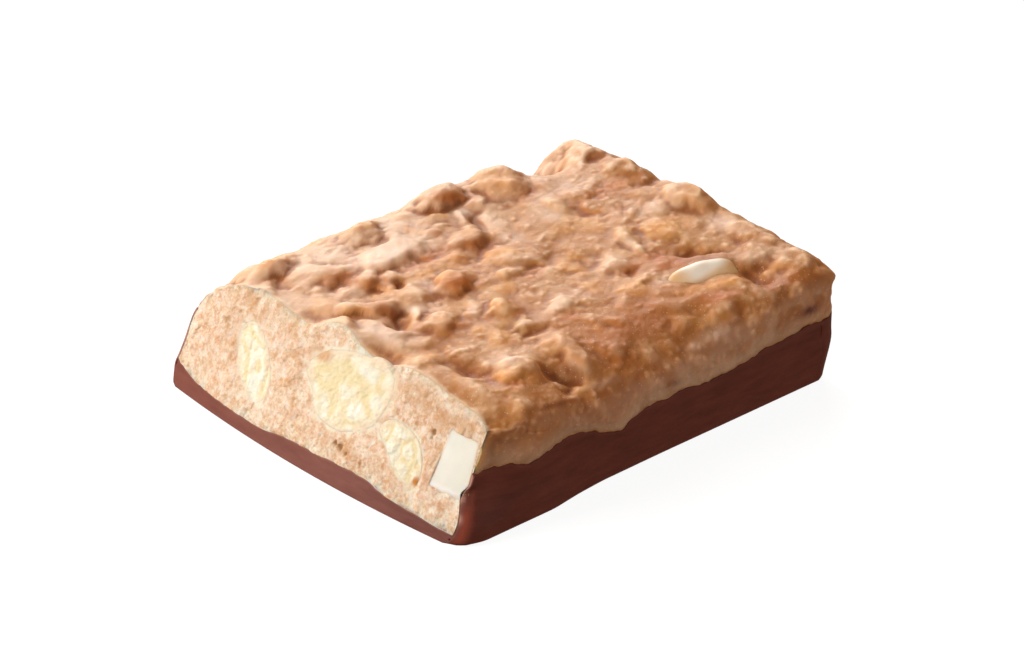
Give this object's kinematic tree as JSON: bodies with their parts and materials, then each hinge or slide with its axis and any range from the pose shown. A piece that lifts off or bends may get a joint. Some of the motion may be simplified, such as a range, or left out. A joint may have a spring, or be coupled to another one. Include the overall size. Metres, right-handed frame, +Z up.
{
  "type": "crunchy chocolate bar piece",
  "caption": "Cut piece of a crunchy chocolate bar: lumpy cereal crisp mass in a dipped chocolate base, with puffed cereal and nut showing at the slanted cut and on top.",
  "frame": {"origin": "centre of the bounding box in plan, on the flat underside", "axes": "+X along the length from the slanted cut end to the moulded end, +Y across to the back long side, +Z up"},
  "size_m": [0.0458, 0.0374, 0.0121],
  "materials": {
    "brown_chocolate": "food, not plastic: satin brown milk chocolate, dipped, slightly streaked",
    "caramel_chocolate_crisp": "food, not plastic: waxy caramel-coloured chocolate over cereal crisps, matt pale crumb where cut",
    "puffed_cereal": "food, not plastic: dry airy pale yellow puffed cereal",
    "nut_flesh": "food, not plastic: smooth ivory nut flesh, slightly translucent"
  },
  "bodies": {
    "root": {"chocolate_base": "brown_chocolate", "crisp_mass": "caramel_chocolate_crisp", "cereal_puff_left": "puffed_cereal", "cereal_puff_middle": "puffed_cereal", "cereal_puff_right": "puffed_cereal", "nut_at_corner": "nut_flesh", "nut_on_top": "nut_flesh"}
  },
  "joints": []
}
